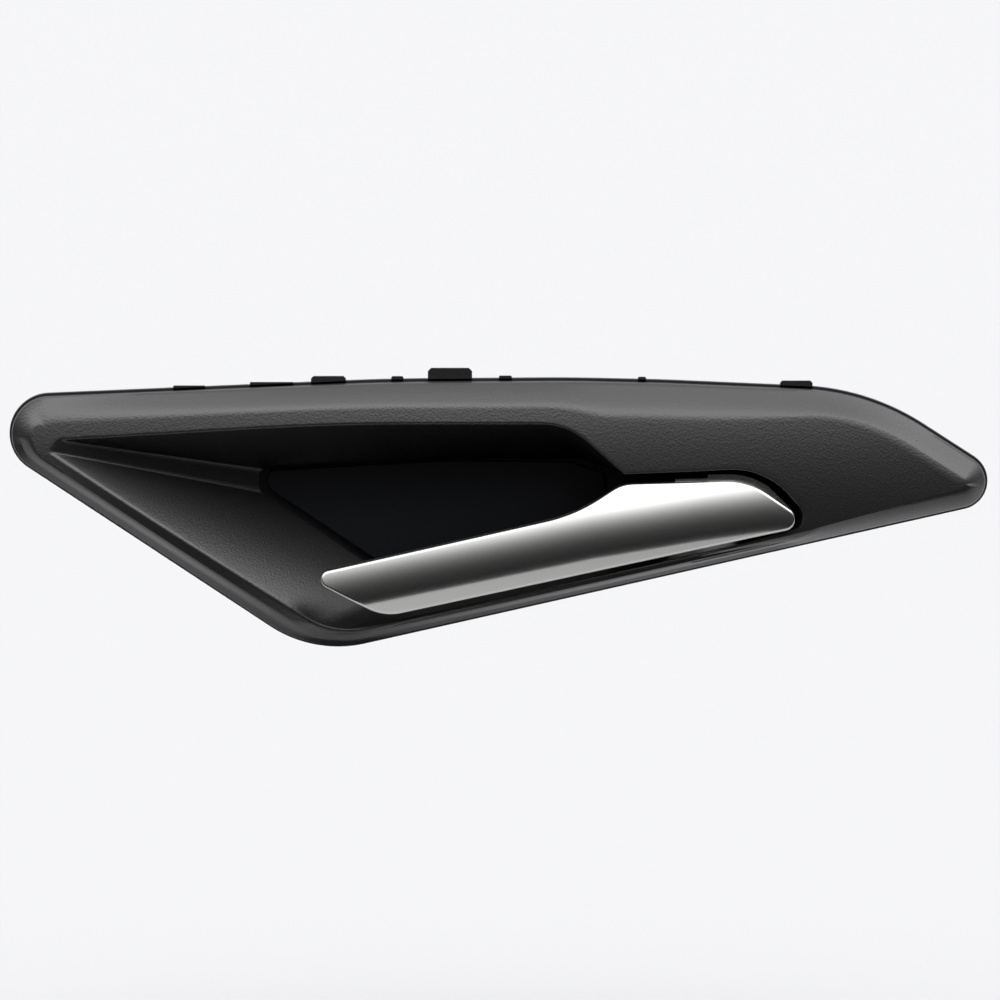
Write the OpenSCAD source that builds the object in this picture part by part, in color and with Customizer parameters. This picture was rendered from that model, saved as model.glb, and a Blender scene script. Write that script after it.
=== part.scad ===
// Interior door release handle: moulded bezel with finger bowl, sprung pull lever and its carrier.
// X runs along the handle, Z is up, Y points into the door. Heights are measured towards the user,
// so a height h is Y = -h. The origin is the mouth of the right-hand trim screw boss.

/* [Bezel] */
// Length of the bezel outline, tip to tip
bezel_len = 240; // [220:1:270]
// Height of the bezel outline, top edge to lowest point
bezel_h = 64.8; // [60:0.2:74]
// Height of the outline's edge above the rear plane
edge_h = 5; // [4:0.1:6]
// Height of the show face at the middle of its crown
crown_h = 14.5; // [13.5:0.1:16]
// Fall of the crown towards each tip
crown_fall = 5; // [3:0.1:6]
// Radius of the crown from top to bottom
crown_r = 85; // [70:1:140]
// Width of the flank that runs round the outline
flank_w = 5.3; // [4:0.1:6]
// Extra width of the soft roll along the top edge
roll_w = 3.2; // [0:0.1:4]
// Thickness of the bezel's skin
skin = 2.4; // [1.8:0.1:2.8]
// Width of the ledge that stands behind the trim
flange_w = 0.7; // [0.4:0.1:1.2]
// Thickness of that ledge
flange_t = 1.4; // [1:0.1:2]

/* [Bowl] */
// Depth of the bowl's window below the rear plane
bowl_d = 9.5; // [8:0.1:12]
// Thickness of the lip round the window
lip_t = 1.5; // [1.2:0.1:2.5]
// Width of the lip's seat behind the window
lip_w = 2.2; // [1.8:0.1:3]
// Rise of the floor panel out of its flange
panel_rise = 2.3; // [1.8:0.1:3]
// Thickness of the floor panel's flange
panel_t = 1.8; // [1.2:0.1:2.5]

/* [Lever] */
// Height of the lever's crease at its highest
ridge_h = 16.6; // [16:0.1:18]
// Fall from the crease to the lever's top edge
roll_drop = 3.2; // [2.5:0.1:4.5]
// Slope of the facet below the crease, in degrees
facet_tilt = 24; // [15:1:30]
// Height of the lever's rear face
lever_back_h = 9.2; // [8.8:0.1:9.4]
// Thickness of the lever cover
cover_t = 1.3; // [1:0.1:1.6]
// Depth of the cover's skirt below its edge
skirt_d = 1.6; // [1.4:0.1:1.7]
// Angle that the lever opens
open_angle = 35; // [25:1:38]

/* [Hinge] */
// Lean of the hinge axis from upright, in degrees
hinge_tilt = 12.5; // [8:0.5:16]
// Height of the hinge axis above the rear plane
hinge_h = 8.5; // [8:0.1:9]
// Diameter of the hinge pin
pin_d = 3; // [2.5:0.1:3.2]
// Running clearance of the bushes on the pin, on the radius
pin_fit = 0.04; // [0.02:0.01:0.08]
// Wall of the hinge bushes
bush_wall = 0.8; // [0.6:0.1:1]
// Wall of the lever's hubs round the bushes
hub_wall = 1; // [0.8:0.1:1.1]
// Width of each lever hub along the axis
hub_w = 2; // [1.8:0.1:2.2]
// Gap between the two lever hubs, which holds the spring
spring_bay = 3.6; // [3.4:0.1:3.8]
// Side clearance between hub and carrier ear
side_gap = 0.3; // [0.2:0.05:0.5]
// Thickness of each carrier ear
ear_t = 1.6; // [1.4:0.1:1.8]
// Wire diameter of the return spring
wire_d = 0.8; // [0.6:0.05:0.9]

/* [Cable arm] */
// Distance from the hinge axis to the cable nipple
arm_len = 26; // [24:0.5:30]
// Thickness of the arm along the hinge axis
arm_t = 4.2; // [3.6:0.1:4.4]
// Width of the arm
arm_w = 6.4; // [5:0.1:7]
// Diameter of the nipple seat
nipple_d = 5; // [4:0.1:5.2]
// Diameter of the conduit seat
conduit_d = 8; // [6:0.1:8.4]
// Length of the conduit seat
conduit_len = 7; // [5:0.5:9]
// Distance from the hinge axis to the near face of the conduit seat
conduit_reach = 16; // [14:0.5:16.5]

/* [Carrier] */
// Thickness of the carrier plate
plate_t = 2.5; // [2:0.1:3]
// Clearance round the arm in the carrier slot
slot_gap = 0.8; // [0.5:0.1:1.2]
// Diameter of the carrier and panel screws
screw_d = 3; // [2.5:0.1:3.2]
// Wall of the screw bosses
boss_wall = 1.5; // [1.2:0.1:1.8]

/* [Trim bosses] */
// Diameter of the pilot hole for the trim screws
trim_pilot_d = 3.2; // [2.8:0.1:3.6]
// Depth of the trim screws' pilot holes
trim_pilot_l = 6.4; // [5:0.2:6.6]
// Wall of the trim screw bosses
trim_wall = 2; // [1.6:0.1:2.4]

// Distance of the lower boss's mouth behind the rear plane
lower_boss_drop = 6; // [6:0.2:9]

/* [Hidden] */

kx = bezel_len / 240;
kz = bezel_h / 64.8;
mid_x = -102 * kx;
crown_z = -8 * kz;
window_h = -bowl_d;
lip_back_h = window_h - lip_t;
contact_gap = 0.3;
hair = 0.02;

// Corners of each plan outline as [x, z, radius], clockwise from the left tip
rim_corners = [
    [-222.5, 3.2, 9.3], [-222.5, 17.2, 9.3], [-130, 21.1, 600], [-85, 21.4, 500], [-62, 20.9, 400],
    [-11.2, 18.7, 59], [27.8, -6.4, 6.5], [-148, -46.1, 29.8],
];
crest_corners = [
    [-212.8, 4.4, 0.5], [-210.6, 7.2, 2.5], [-143.9, 11.4, 700], [-85.6, 11.4, 17.2], [-71.6, -0.9, 0.7],
    [-36.9, 0.5, 18.4], [-24.4, -14, 4], [-143.5, -41, 19.2],
];
window_corners = [
    [-162, -7, 2.4], [-162, -1.5, 1.8], [-115, 1.3, 300], [-82, 1.2, 12], [-71.3, -2.6, 0.9],
    [-37.5, -0.7, 17.4], [-25.2, -12.6, 2.8], [-124.5, -32.4, 4],
];
panel_corners = [
    [-160, -6.1, 2.2], [-160, -1.75, 1.8], [-116, 0.8, 200], [-84.5, 0.5, 5], [-76, -2.5, 1],
    [-76, -22, 1], [-122.5, -31.1, 3],
];
lever_corners = [
    [-150.2, -25.8, 2.2], [-83.6, -10.7, 42], [-71.9, -3.2, 8.9], [-41.1, -2.4, 16.7],
    [-25.4, -13.3, 2.9], [-130.5, -36, 12],
];
// The lever's crease in plan, as [x, z]
ridge_line = [[-151, -34.1], [-79.4, -19.3], [-52.9, -14.9], [-36.6, -12.7], [-27, -12.2]];

// Points per corner arc and per straight stretch after it, the same on every ring of the bezel
arc_n = [6, 5, 5, 8, 4, 8, 8, 9];
edge_n = [0, 6, 4, 2, 6, 3, 14, 9];

function unit(v) = v / norm(v);
function mix(a, b, t) = a + (b - a) * t;
function clamp(v, lo, hi) = max(lo, min(hi, v));
function smooth(t) = let (c = clamp(t, 0, 1)) c * c * (3 - 2 * c);
function scaled(corners) = [for (c = corners) [c[0] * kx, c[1] * kz, c[2] * min(kx, kz)]];
function at_height(p, h) = [p[0], -h, p[1]];

// Arc of n points that rounds corner b between its neighbours a and c
function corner_arc(a, b, c, r, n) =
    let (
        u = unit(a - b),
        w = unit(c - b),
        half = acos(u * w) / 2,
        centre = b + unit(u + w) * r / sin(half),
        from = b + u * r / tan(half) - centre,
        to = b + w * r / tan(half) - centre,
        start = atan2(from[1], from[0]),
        turn = atan2(to[1], to[0]) - start,
        sweep = turn > 180 ? turn - 360 : turn < -180 ? turn + 360 : turn
    )
    [for (i = [0:n - 1]) let (t = start + sweep * i / (n - 1)) centre + r * [cos(t), sin(t)]];

// Closed outline with rounded corners, arcs[k] points on corner k and edges[k] points after it
function rounded(corners, arcs, edges) =
    let (
        m = len(corners),
        xy = [for (c = corners) [c[0], c[1]]],
        parts = [
            for (k = [0:m - 1])
                corner_arc(xy[(k + m - 1) % m], xy[k], xy[(k + 1) % m], corners[k][2], arcs[k])
        ]
    )
    [
        for (k = [0:m - 1])
            for (i = [0:arcs[k] + edges[k] - 1])
                let (last = parts[k][arcs[k] - 1], next = parts[(k + 1) % m][0])
                    i < arcs[k] ? parts[k][i] : mix(last, next, (i - arcs[k] + 1) / (edges[k] + 1))
    ];

// Outward normals of a clockwise outline, and the outline moved outwards by d
function normals(c) =
    let (n = len(c))
    [for (i = [0:n - 1]) let (d = unit(c[(i + 1) % n] - c[(i + n - 1) % n])) [-d[1], d[0]]];
function moved(c, d) = let (m = normals(c)) [for (i = [0:len(c) - 1]) c[i] + m[i] * d];

rim = rounded(scaled(rim_corners), arc_n, edge_n);
crest = rounded(scaled(crest_corners), arc_n, edge_n);
window = rounded(scaled(window_corners), arc_n, edge_n);
rim_out = normals(rim);
crest_out = normals(crest);
ring_n = len(rim);

// Height of the show face, and how much a point of the rim belongs to the soft top roll
function face_h(p) =
    crown_h - crown_fall * pow((p[0] - mid_x) / (bezel_len / 2), 2) - pow(p[1] - crown_z, 2) / (2 * crown_r);
function rollness(i) = pow(max(rim_out[i][1], 0), 6) * smooth((-8 * kx - rim[i][0]) / (50 * kx));
function rim_gap(i) = min([for (c = crest) norm(c - rim[i])]);
gaps = [for (i = [0:ring_n - 1]) rim_gap(i)];
flank = [for (i = [0:ring_n - 1]) min(flank_w + roll_w * rollness(i), 0.62 * gaps[i])];
bend = [for (i = [0:ring_n - 1]) 1.25 + 0.75 * rollness(i)];

// Ring at a share s of the flank's width, ring on the face between flank and crest, ring on the bowl wall
function flank_point(i, s) = rim[i] - rim_out[i] * (s * flank[i]);
function flank_ring(s) = [
    for (i = [0:ring_n - 1])
        let (p = flank_point(i, s)) at_height(p, mix(edge_h, face_h(p), 1 - pow(1 - s, bend[i])))
];
function face_ring(t) = [
    for (i = [0:ring_n - 1])
        let (p = mix(flank_point(i, 1), crest[i] + crest_out[i] * 0.55, t)) at_height(p, face_h(p))
];
function wall_point(i, h) =
    let (top = face_h(crest[i])) mix(crest[i], window[i], (top - h) / (top - window_h));
function wall_ring(t) = [
    for (i = [0:ring_n - 1])
        let (h = mix(face_h(crest[i]) - 0.6, window_h, t)) at_height(wall_point(i, h), h)
];
// Hollow behind the face: its ceiling is lower where the rim is narrow
function narrow(i) = clamp((7 - gaps[i]) / 3, 0, 1);
function inner_ceiling(i) =
    let (h = mix(face_h(crest[i]) - skin - 0.2, edge_h - 2, narrow(i)))
    at_height(wall_point(i, h) + crest_out[i] * skin, h);
function outer_ceiling(i) =
    let (p = rim[i] - rim_out[i] * mix(skin + 0.8, skin - 0.3, narrow(i)))
    at_height(p, mix(edge_h + 1, edge_h - 2, narrow(i)));
function ceiling_ring(t) = [
    for (i = [0:ring_n - 1])
        let (
            p = mix(inner_ceiling(i), outer_ceiling(i), t),
            full = face_h([p[0], p[2]]) - skin
        )
            [p[0], -mix(full, -p[1], max(narrow(i), smooth(abs(2 * t - 1)))), p[2]]
];
function flat_ring(c, h) = [for (p = c) at_height(p, h)];

bezel_rings = concat(
    [
        flat_ring(moved(rim, flange_w), 0),
        flat_ring(moved(rim, flange_w), flange_t),
        flat_ring(rim, flange_t),
        flat_ring(moved(rim, -0.1), edge_h - 0.4),
        flank_ring(0.08),
        flank_ring(0.35),
        flank_ring(0.65),
        flank_ring(0.9),
        flank_ring(1),
        face_ring(0.33),
        face_ring(0.66),
        face_ring(1),
        [for (i = [0:ring_n - 1]) at_height(crest[i] + crest_out[i] * 0.12, face_h(crest[i]) - 0.14)],
    ],
    [for (t = [0, 0.35, 0.7, 1]) wall_ring(t)],
    [
        flat_ring(window, lip_back_h),
        flat_ring(moved(window, lip_w), lip_back_h),
        [for (i = [0:ring_n - 1]) inner_ceiling(i)],
        ceiling_ring(0.33),
        ceiling_ring(0.66),
        [for (i = [0:ring_n - 1]) outer_ceiling(i)],
        flat_ring(moved(rim, -skin + 0.4), 0),
    ]
);

// Closed tube of rings that returns to its first ring
module ring_solid(rings) {
    n = len(rings[0]);
    m = len(rings);
    polyhedron(
        points = [for (r = rings) for (p = r) p],
        faces = [
            for (j = [0:m - 1])
                for (i = [0:n - 1])
                    let (
                        a = j * n + i,
                        b = j * n + (i + 1) % n,
                        c = ((j + 1) % m) * n + (i + 1) % n,
                        d = ((j + 1) % m) * n + i
                    )
                        for (f = [[a, b, c], [a, c, d]]) f
        ],
        convexity = 8
    );
}

// Solid between two plan outlines stacked along Y, closed by flat ends
module stack_solid(rings) {
    n = len(rings[0]);
    m = len(rings);
    polyhedron(
        points = [for (r = rings) for (p = r) p],
        faces = concat(
            [[for (i = [n - 1:-1:0]) i]],
            [
                for (j = [0:m - 2])
                    for (i = [0:n - 1])
                        let (
                            a = j * n + i,
                            b = j * n + (i + 1) % n,
                            c = (j + 1) * n + (i + 1) % n,
                            d = (j + 1) * n + i
                        )
                            for (f = [[a, b, c], [a, c, d]]) f
            ],
            [[for (i = [0:n - 1]) (m - 1) * n + i]]
        ),
        convexity = 4
    );
}

// Plan shape as a plate from height h0 up to h1
module plate(h0, h1) {
    translate([0, -h0, 0]) rotate([90, 0, 0]) linear_extrude(h1 - h0) children();
}
// Cylinder along Y at a plan point, from height h0 up to h1
module post(p, r, h0, h1) {
    translate([p[0], -h0, p[1]]) rotate([90, 0, 0]) cylinder(r = r, h = h1 - h0, $fn = 32);
}

// Screw places in plan
function place(x, z) = [x * kx, z * kz];
screw_r = screw_d / 2;
boss_r = screw_r + boss_wall;
carrier_screws = [place(-72, 12.5), place(-15.5, 7.5), place(-14.5, -11.3), place(-70, -25.3)];
carrier_boss_tops = [9.5, 9, 7, 2.5];
panel_screws = [place(-121, 14.2), place(-163, -21), place(-113, -34.4)];
panel_boss_tops = [8.3, 0.2, 2.5];
trim_bosses = [[0, 0], place(-199.4, 12.2), place(-150, -31)];
trim_boss_tops = [8.8, 6.2, 1.2];
trim_mouths = [0, 0, -lower_boss_drop];
trim_pilot_r = trim_pilot_d / 2;
trim_r = trim_pilot_r + trim_wall;
screw_depth = 7;
gusset_t = 1.2;
gusset_h = 2.5;
gusset_reach = [3.4, 1.6];

// Snap tongues and small locating bumps on the top edge: centre, width and rise above the ledge
tongues = [
    [-178.8, 7.9, 0.3], [-158.4, 10.8, 0.3], [-144.4, 8.6, 1.2], [-127.4, 3, 0.6], [-114.4, 10.9, 2.5],
    [-100.7, 3.2, 0.5], [-67, 2, 0.5], [-28.9, 8, 1.1],
];
tongue_chamfer = 0.8;

module bezel() {
    color([0.13, 0.13, 0.14])
    difference() {
        union() {
            ring_solid(bezel_rings);
            for (t = tongues) tongue(t);
            for (i = [0:3]) post(carrier_screws[i], boss_r, lip_back_h, carrier_boss_tops[i]);
            for (i = [0:2]) post(panel_screws[i], boss_r, lip_back_h, panel_boss_tops[i]);
            for (i = [0:2]) post(trim_bosses[i], trim_r, trim_mouths[i], trim_boss_tops[i]);
            for (i = [0:1]) boss_gussets(i);
        }
        for (p = concat(carrier_screws, panel_screws))
            post(p, screw_r + hair, lip_back_h - 1, lip_back_h + screw_depth + 0.6);
        for (i = [0:2]) post(trim_bosses[i], trim_pilot_r, trim_mouths[i] - 1, trim_mouths[i] + trim_pilot_l);
    }
}

// Crossed webs that carry a trim boss on the underside of the face
module boss_gussets(i) {
    reach = trim_r + gusset_reach[i];
    plate(gusset_h, trim_boss_tops[i] - 0.3) translate(trim_bosses[i]) {
        square([2 * reach, gusset_t], center = true);
        square([gusset_t, 2 * reach], center = true);
    }
}

// Height of the rim's top edge above a given x
rim_top = [for (p = rim) if (p[1] > 8 * kz && p[0] < 20) p];
function rim_z(x) = lookup(x, [for (p = rim_top) [p[0], p[1]]]);
module tongue(t) {
    x = t[0] * kx;
    w = t[1] / 2;
    z0 = min(rim_z(x - w), rim_z(x + w)) - skin / 2;
    z1 = rim_z(x) + flange_w + t[2];
    c = min(tongue_chamfer, t[2] / 2);
    plate(0, flange_t)
        polygon([
            [x - w, z0], [x + w, z0], [x + w, z1 - c],
            [x + w - c, z1], [x - w + c, z1], [x - w, z1 - c]
        ]);
}

panel_outline = rounded(scaled(panel_corners), [9, 9, 4, 6, 3, 3, 9], [0, 0, 0, 0, 0, 0, 0]);
module insert_panel() {
    back_h = lip_back_h - panel_t;
    front_h = lip_back_h + panel_rise;
    color([0.1, 0.11, 0.13])
    difference() {
        union() {
            plate(back_h, lip_back_h) intersection() {
                polygon(moved(window, lip_w - 0.6));
                translate([-bezel_len, -bezel_h]) square([bezel_len - 76 * kx, 2 * bezel_h]);
            }
            for (i = [0:2]) panel_ear(i, back_h);
            stack_solid([
                flat_ring(panel_outline, lip_back_h - panel_t / 2),
                flat_ring(panel_outline, front_h - 0.35),
                flat_ring(moved(panel_outline, -0.35), front_h),
            ]);
        }
        for (p = panel_screws) post(p, screw_r + 0.3, back_h - 1, lip_back_h + 1);
    }
}
module panel_ear(i, back_h) {
    p = panel_screws[i];
    foot = [place(-121, 0), place(-152, -11), place(-111, -29)][i];
    plate(back_h, lip_back_h) hull() {
        translate(p) circle(boss_r, $fn = 24);
        translate(foot) circle(boss_r, $fn = 24);
    }
}

// Lever outline split into its upper and lower edge as functions of x
lever_outline = rounded(scaled(lever_corners), [9, 7, 6, 7, 7, 7], [8, 1, 2, 2, 8, 2]);
lever_x0 = min([for (p = lever_outline) p[0]]);
lever_x1 = max([for (p = lever_outline) p[0]]);
function half_outline(c, upper) =
    let (
        n = len(c),
        x0 = min([for (p = c) p[0]]),
        x1 = max([for (p = c) p[0]]),
        first = [for (i = [0:n - 1]) if (c[i][0] == x0) i][0],
        last = [for (i = [0:n - 1]) if (c[i][0] == x1) i][0],
        steps = upper ? (last - first + n) % n : (first - last + n) % n
    )
    [for (k = [0:steps]) upper ? c[(first + k) % n] : c[(first - k + n) % n]];
lever_upper = half_outline(lever_outline, true);
lever_lower = half_outline(lever_outline, false);
function upper_z(x) = lookup(x, lever_upper);
function lower_z(x) = lookup(x, lever_lower);
ridge_plan = [for (p = ridge_line) place(p[0], p[1])];
function crease_z(x) = lookup(x, ridge_plan);
function crease_h(x) =
    let (d = (x - -90 * kx) / (60 * kx)) ridge_h - (d > 0 ? 1.5 : 0.6) * d * d;
// Distance of a plan point from the lever's outline
function seg_dist(p, a, b) =
    let (d = b - a, t = clamp((p - a) * d / (d * d), 0, 1)) norm(p - a - d * t);
function edge_dist(p) =
    let (c = lever_outline, n = len(c))
    min([for (i = [0:n - 1]) seg_dist(p, c[i], c[(i + 1) % n])]);
edge_r = 0.6;
// Height of the lever's show surface at a plan point
function lever_h(p) =
    let (
        zr = crease_z(p[0]),
        zt = upper_z(p[0]),
        up = clamp((p[1] - zr) / max(zt - zr, 0.5), 0, 1),
        width = zt - zr,
        drop = p[1] > zr
            ? roll_drop * min(1, width / (8 * kz)) * pow(up, 1.9)
            : (zr - p[1]) * tan(facet_tilt),
        e = clamp(1 - edge_dist(p) / edge_r, 0, 1)
    )
    crease_h(p[0]) - drop - edge_r * (1 - sqrt(1 - e * e));

// Stations along the lever, closer together at its ends
station_n = 34;
function station(k, inset) =
    let (t = k / station_n, e = mix(t, (1 - cos(180 * t)) / 2, 0.8))
    mix(lever_x0 + inset, lever_x1 - inset, e);
// Places across the lever: from its upper edge to the crease, then to its lower edge
across = [0, 0.04, 0.12, 0.26, 0.45, 0.7, 1, 1.5, 1.88, 2];
across_n = len(across);
function grid_point(x, s, inset) =
    let (
        middle = (upper_z(x) + lower_z(x)) / 2,
        half = max((upper_z(x) - lower_z(x)) / 2 - inset, 0.15),
        c = clamp(crease_z(x), middle - 0.85 * half, middle + 0.85 * half)
    )
    [x, s < 1 ? mix(middle + half, c, s) : mix(c, middle - half, s - 1)];

// Sheet of points on the lever's surface, sunk by depth and held back from the outline by inset
function sheet(inset, depth) = [
    for (k = [0:station_n])
        let (x = station(k, inset + 0.02))
        [for (s = across) let (p = grid_point(x, s, inset)) at_height(p, lever_h(p) - depth)]
];
function sheet_edge(g) = let (m = len(g) - 1, q = across_n - 1) concat(
    [for (k = [0:m]) g[k][0]],
    [for (j = [1:q]) g[m][j]],
    [for (k = [m - 1:-1:0]) g[k][q]],
    [for (j = [q - 1:-1:1]) g[0][j]]
);
// Index of each edge point within the sheet, in the same order as sheet_edge
edge_index = let (m = station_n, q = across_n - 1) concat(
    [for (k = [0:m]) k * across_n],
    [for (j = [1:q]) m * across_n + j],
    [for (k = [m - 1:-1:0]) k * across_n + q],
    [for (j = [q - 1:-1:1]) j]
);
function sheet_faces(first, flip) = [
    for (k = [0:station_n - 1])
        for (j = [0:across_n - 2])
            let (
                a = first + k * across_n + j,
                b = a + 1,
                c = a + across_n + 1,
                d = a + across_n
            )
                for (f = flip ? [[a, b, c], [a, c, d]] : [[a, c, b], [a, d, c]]) f
];
function band_faces(a, b) = [
    for (i = [0:len(a) - 1])
        let (j = (i + 1) % len(a)) for (f = [[a[i], a[j], b[j]], [a[i], b[j], b[i]]]) f
];

// Shell or block under the show surface: front sheet, loops of edge points, rear sheet
module sheet_solid(front, loops, rear) {
    size = len(front) * across_n;
    n = len(edge_index);
    rear_first = size + len(loops) * n;
    starts = [for (i = [0:len(loops) - 1]) size + i * n];
    index = concat(
        [edge_index],
        [for (s = starts) [for (i = [0:n - 1]) s + i]],
        [[for (i = edge_index) rear_first + i]]
    );
    polyhedron(
        points = concat(
            [for (r = front) for (p = r) p],
            [for (l = loops) for (p = l) p],
            [for (r = rear) for (p = r) p]
        ),
        faces = concat(
            sheet_faces(0, false),
            [for (i = [0:len(index) - 2]) for (f = band_faces(index[i + 1], index[i])) f],
            sheet_faces(rear_first, true)
        ),
        convexity = 6
    );
}
function dropped(loop, d) = [for (p = loop) [p[0], p[1] + d, p[2]]];
function levelled(loop, h) = [for (p = loop) [p[0], -h, p[2]]];

hinge = place(-42.333, -9.753);
module at_hinge() {
    translate([hinge[0], -hinge_h, hinge[1]]) rotate([0, -hinge_tilt, 0]) children();
}
// Plan of the side view across the hinge: x along the lever, y rearwards, extruded along the axis
module slice(v0, v1) {
    translate([0, 0, v0]) linear_extrude(v1 - v0) children();
}

pin_r = pin_d / 2;
bush_in = pin_r + pin_fit;
bush_r = bush_in + bush_wall;
hub_r = bush_r + hub_wall;
hub_out = spring_bay / 2 + hub_w;
ear_in = hub_out + side_gap;
ear_out = ear_in + ear_t;
ear_r = hub_r - 0.15;
bay_h = hub_r + 0.1;
hub_top = bay_h + 0.02;
arm_v0 = -hub_out;
arm_v1 = arm_v0 + arm_t;
plate_front = hinge_h - lip_back_h;
ear_foot = plate_front + 0.5;
coil_r = pin_r + 0.65 + wire_d / 2;
ear_flare = 1.6;
ring_t = 0.5;
ring_wall = 0.9;
pin_end = 1.1;

cover_screws = [place(-118, -26.2), place(-66, -12)];
cover_boss_r = 2.1;
cover_screw_r = 1;

// Apron that the cover shows beyond its edge at the root: X of its start, its step and its end
apron_x = [-59 * kx, -51 * kx, -30.2 * kx];
apron_w = 1.5;
apron_step = 0.6;
apron_low = lever_back_h + 1.3;
apron_top = lever_back_h + 2.4;
apron_n = 14;
function apron_width(x) =
    let (left = (apron_x[2] - x) / (apron_x[2] - apron_x[1]))
    left > 1.02 ? apron_step : apron_w * clamp(3 * left, 0, 1);
function upper_out(x) = unit([upper_z(x - 0.1) - upper_z(x + 0.1), 0.2]);
module apron(grow) {
    curved = [for (i = [0:apron_n]) mix(apron_x[1] - grow, apron_x[2] + 2 * grow, i / apron_n)];
    xs = concat([apron_x[0] - grow, apron_x[1] - grow - 0.02], curved);
    edge = [for (x = xs) [x, upper_z(x)]];
    out = [for (x = xs) upper_out(x)];
    n = len(xs);
    plate(apron_low - grow, apron_top + grow) polygon(concat(
        [for (i = [0:n - 1]) edge[i] + out[i] * (apron_width(xs[i]) + grow)],
        [for (i = [n - 1:-1:0]) edge[i] - out[i] * (0.7 + grow)]
    ));
}

module lever_cover() {
    front = sheet(0, 0);
    inner = sheet(cover_t, cover_t);
    outer_edge = sheet_edge(front);
    inner_edge = sheet_edge(inner);
    color([0.72, 0.73, 0.74])
    difference() {
        union() {
            sheet_solid(front, [dropped(outer_edge, skirt_d), dropped(inner_edge, skirt_d - cover_t)], inner);
            for (p = cover_screws) post(p, cover_boss_r, lever_back_h + 2.2, lever_h(p) - cover_t / 2);
            apron(0);
        }
        for (p = cover_screws) post(p, cover_screw_r + hair, lever_back_h, lever_back_h + 4.2);
        at_hinge() hinge_bay();
    }
}
// Room under the lever for the carrier ears, the hubs and the spring
module hinge_bay() {
    w = ear_r + 0.5;
    ring_room = pin_r + ring_wall + 0.3;
    slice(-ear_out - side_gap, ear_out + side_gap) polygon([[-w, 5], [-w, -bay_h], [w, -bay_h], [w, 5]]);
    slice(ear_out, ear_out + pin_end + side_gap)
        polygon([[-ring_room, 5], [-ring_room, -ring_room], [ring_room, -ring_room], [ring_room, 5]]);
}

// Drop of the core's ledge below the cover's skirt at the outer edge
ledge_drop = 0.7;
module lever_core() {
    front = sheet(cover_t + 0.06, cover_t + 0.06);
    edge = sheet_edge(front);
    side = sheet_edge(sheet(0.15, 0));
    rear = [for (r = sheet(1.1, 0)) levelled(r, lever_back_h)];
    leg_y = -coil_r - wire_d / 2 - hair;
    color([0.09, 0.09, 0.1])
    difference() {
        union() {
            difference() {
                sheet_solid(
                    front,
                    [
                        dropped(edge, skirt_d - cover_t + 0.1),
                        dropped(side, skirt_d + ledge_drop),
                        levelled(side, lever_back_h + 0.3),
                    ],
                    rear
                );
                at_hinge() hinge_bay();
            }
            at_hinge() {
                for (s = [-1, 1]) hub(s);
                cable_arm();
            }
        }
        apron(0.1);
        for (p = cover_screws) {
            post(p, cover_boss_r + 0.1, lever_back_h + 2.1, 20);
            post(p, cover_screw_r + 0.2, 0, 20);
            post(p, cover_screw_r + 1.2, 0, lever_back_h + 1);
        }
        at_hinge() {
            slice(-spring_bay / 2, -spring_bay / 2 + wire_d + 0.3)
                polygon([[0, 0], [0, leg_y], [9, leg_y], [9, 0]]);
            nipple_cut();
        }
    }
}
module nipple_cut() {
    middle = arm_v0 + arm_t / 2;
    translate([0, arm_len, arm_v0 - 1]) cylinder(r = nipple_d / 2, h = arm_t + 2, $fn = 48);
    slice(middle - 0.9, middle + 0.9)
        polygon([[0, arm_len - 0.9], [8, arm_len - 0.9], [8, arm_len + 0.9], [0, arm_len + 0.9]]);
}
module hub(side) {
    v0 = side > 0 ? spring_bay / 2 : -hub_out;
    slice(v0, v0 + hub_w) difference() {
        union() {
            circle(hub_r, $fn = 48);
            polygon([[-hub_r, 0], [-hub_r, -hub_top], [hub_r, -hub_top], [hub_r, 0]]);
        }
        circle(bush_r + hair, $fn = 48);
    }
}
module cable_arm() {
    eye = nipple_d / 2 + 1.6;
    slice(arm_v0, arm_v0 + hub_w) difference() {
        polygon([[-hub_r, 0], [hub_r, 0], [arm_w / 2, bay_h + 1.4], [-arm_w / 2, bay_h + 1.4]]);
        circle(bush_r + hair, $fn = 48);
    }
    slice(arm_v0, arm_v1) {
        polygon([
            [-arm_w / 2, bay_h + 0.6], [arm_w / 2, bay_h + 0.6],
            [arm_w / 2, arm_len - 2], [-arm_w / 2, arm_len - 2]
        ]);
        translate([0, arm_len]) circle(eye, $fn = 48);
    }
}

module upper_bush() {
    at_hinge() bush(spring_bay / 2, 1);
}
module lower_bush() {
    at_hinge() bush(-spring_bay / 2, -1);
}
module bush(v, side) {
    flange = side_gap - 0.08;
    color([0.85, 0.82, 0.7])
    translate([0, 0, v]) mirror([0, 0, side < 0 ? 1 : 0])
    difference() {
        union() {
            cylinder(r = bush_r, h = hub_w, $fn = 48);
            translate([0, 0, hub_w]) cylinder(r = hub_r - 0.2, h = flange, $fn = 48);
        }
        translate([0, 0, -1]) cylinder(r = bush_in, h = hub_w + 3, $fn = 48);
    }
}

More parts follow.
